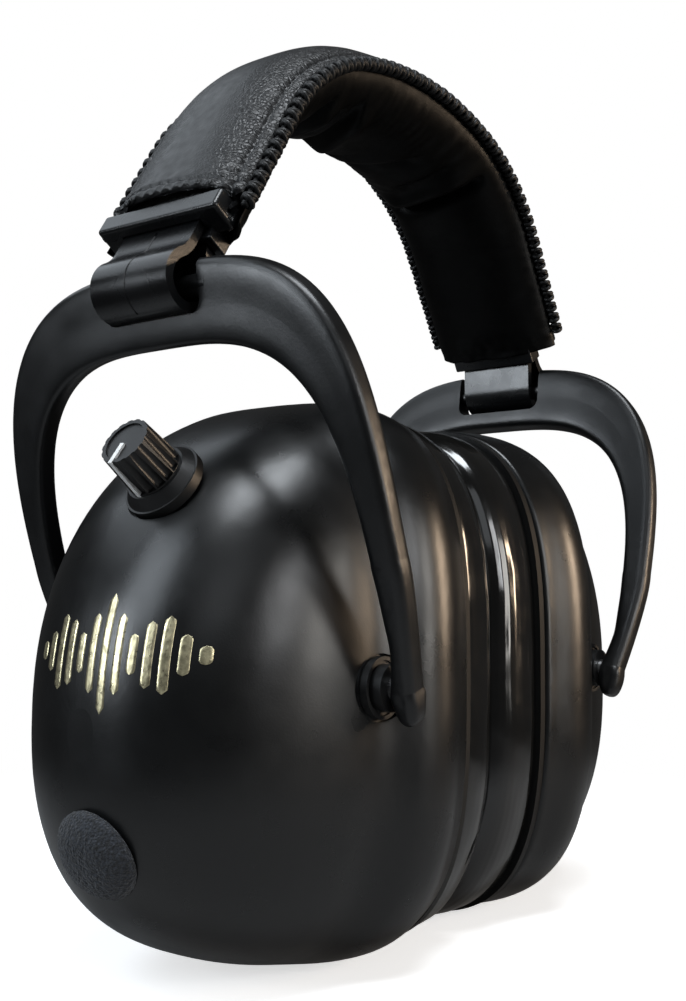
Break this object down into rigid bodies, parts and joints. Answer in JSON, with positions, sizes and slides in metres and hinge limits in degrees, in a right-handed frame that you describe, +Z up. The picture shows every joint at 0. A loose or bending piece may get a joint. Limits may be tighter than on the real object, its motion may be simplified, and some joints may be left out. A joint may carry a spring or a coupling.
{
  "type": "earmuff hearing protector",
  "caption": "Over-the-head electronic earmuff with padded leather headband, sliding hangers, yokes, tilting oval cups, sealing cushions, volume knobs and microphones.",
  "frame": {"origin": "on the ground plane, midway between the two cups and midway from front to back", "axes": "+Z up from the cups to the headband, +X across the head towards the right cup, Y from front (-) to back (+)"},
  "size_m": [0.1696, 0.094, 0.1957],
  "materials": {
    "shell_plastic": "satin black moulded plastic",
    "plate_plastic": "matt",
    "zinc_steel": "zinc plated",
    "gasket_rubber": "matt",
    "seal_vinyl": "gloss",
    "scrim_cloth": "knitted",
    "liner_foam": "open foam",
    "speaker_metal": "matt",
    "holder_plastic": "matt",
    "battery_can": "satin",
    "contact_metal": "satin",
    "board_laminate": "lacquered",
    "pot_metal": "satin",
    "nut_metal": "satin",
    "shaft_metal": "satin",
    "knob_plastic": "matt",
    "pointer_white": "matt",
    "capsule_metal": "satin",
    "windscreen_foam": "open foam",
    "yoke_plastic": "satin",
    "washer_plastic": "matt",
    "pin_steel": "satin",
    "hanger_plastic": "satin",
    "block_plastic": "satin",
    "rivet_steel": "bright",
    "spring_steel": "satin",
    "band_foam": "soft foam",
    "outer_leather": "satin grain",
    "inner_leather": "smooth",
    "lacing_leather": "braided"
  },
  "bodies": {
    "headband": {"headband_spring": "spring_steel", "top_padding": "band_foam", "head_pad": "band_foam", "headband_cover_outer": "outer_leather", "headband_cover_inner": "inner_leather", "headband_lacing": "lacing_leather"},
    "band_end_right": {"right_end_block": "block_plastic", "right_block_rivets": "rivet_steel"},
    "slider_right": {"right_hanger_loop": "hanger_plastic"},
    "yoke_right": {"right_yoke": "yoke_plastic", "right_pivot_pins": "pin_steel"},
    "cup_right": {"right_cup_shell": "shell_plastic", "right_seal_plate": "plate_plastic", "right_plate_screws": "zinc_steel", "right_shell_gasket": "gasket_rubber", "right_ear_cushion": "seal_vinyl", "right_ear_scrim": "scrim_cloth", "right_acoustic_liner": "liner_foam", "right_speaker": "speaker_metal", "right_battery_holder": "holder_plastic", "right_battery": "battery_can", "right_battery_contacts": "contact_metal", "right_circuit_board": "board_laminate", "right_volume_pot": "pot_metal", "right_pot_nut": "nut_metal", "right_mic_capsule": "capsule_metal", "right_mic_windscreen": "windscreen_foam", "right_pivot_washers": "washer_plastic"},
    "knob_right": {"right_pot_shaft": "shaft_metal", "right_volume_knob": "knob_plastic", "right_knob_pointer": "pointer_white"},
    "band_end_left": {"left_end_block": "block_plastic", "left_block_rivets": "rivet_steel"},
    "slider_left": {"left_hanger_loop": "hanger_plastic"},
    "yoke_left": {"left_yoke": "yoke_plastic", "left_pivot_pins": "pin_steel"},
    "cup_left": {"left_cup_shell": "shell_plastic", "left_seal_plate": "plate_plastic", "left_plate_screws": "zinc_steel", "left_shell_gasket": "gasket_rubber", "left_ear_cushion": "seal_vinyl", "left_ear_scrim": "scrim_cloth", "left_acoustic_liner": "liner_foam", "left_speaker": "speaker_metal", "left_battery_holder": "holder_plastic", "left_battery": "battery_can", "left_battery_contacts": "contact_metal", "left_circuit_board": "board_laminate", "left_volume_pot": "pot_metal", "left_pot_nut": "nut_metal", "left_mic_capsule": "capsule_metal", "left_mic_windscreen": "windscreen_foam", "left_pivot_washers": "washer_plastic"},
    "knob_left": {"left_pot_shaft": "shaft_metal", "left_volume_knob": "knob_plastic", "left_knob_pointer": "pointer_white"}
  },
  "joints": [
    {"name": "flex_right", "type": "hinge", "parent": "headband", "child": "band_end_right", "pos_m": [0.039, 0, 0.1723], "axis": [0, -1, 0], "range_deg": [0, 30], "stiffness_Nm_per_rad": 1.5, "springref_deg": -5.73, "deforming": ["headband_spring", "top_padding", "head_pad", "headband_cover_outer", "headband_cover_inner", "headband_lacing"]},
    {"name": "slide_right", "type": "slide", "parent": "band_end_right", "child": "slider_right", "axis": [0.5299, 0, -0.848], "range_m": [0, 0.02]},
    {"name": "fold_right", "type": "hinge", "parent": "slider_right", "child": "yoke_right", "pos_m": [0.0676, 0, 0.1281], "axis": [0, -1, 0], "range_deg": [0, 6.5]},
    {"name": "tilt_right", "type": "hinge", "parent": "yoke_right", "child": "cup_right", "pos_m": [0.04455, 0, 0.0551], "axis": [0, 1, 0], "range_deg": [-10, 10], "deforming": ["right_ear_cushion"]},
    {"name": "knob_turn_right", "type": "hinge", "parent": "cup_right", "child": "knob_right", "pos_m": [0.0682, -0.0047, 0.0912], "axis": [-0.8387, 0, -0.5446], "range_deg": [0, 300]},
    {"name": "flex_left", "type": "hinge", "parent": "headband", "child": "band_end_left", "pos_m": [-0.039, 0, 0.1723], "axis": [0, 1, 0], "range_deg": [0, 30], "stiffness_Nm_per_rad": 1.5, "springref_deg": -5.73, "deforming": ["headband_spring", "top_padding", "head_pad", "headband_cover_outer", "headband_cover_inner", "headband_lacing"]},
    {"name": "slide_left", "type": "slide", "parent": "band_end_left", "child": "slider_left", "axis": [-0.5299, 0, -0.848], "range_m": [0, 0.02]},
    {"name": "fold_left", "type": "hinge", "parent": "slider_left", "child": "yoke_left", "pos_m": [-0.0676, 0, 0.1281], "axis": [0, 1, 0], "range_deg": [0, 6.5]},
    {"name": "tilt_left", "type": "hinge", "parent": "yoke_left", "child": "cup_left", "pos_m": [-0.04455, 0, 0.0551], "axis": [0, -1, 0], "range_deg": [-10, 10], "deforming": ["left_ear_cushion"]},
    {"name": "knob_turn_left", "type": "hinge", "parent": "cup_left", "child": "knob_left", "pos_m": [-0.0682, -0.0047, 0.0912], "axis": [0.8387, 0, -0.5446], "range_deg": [0, 300]}
  ]
}
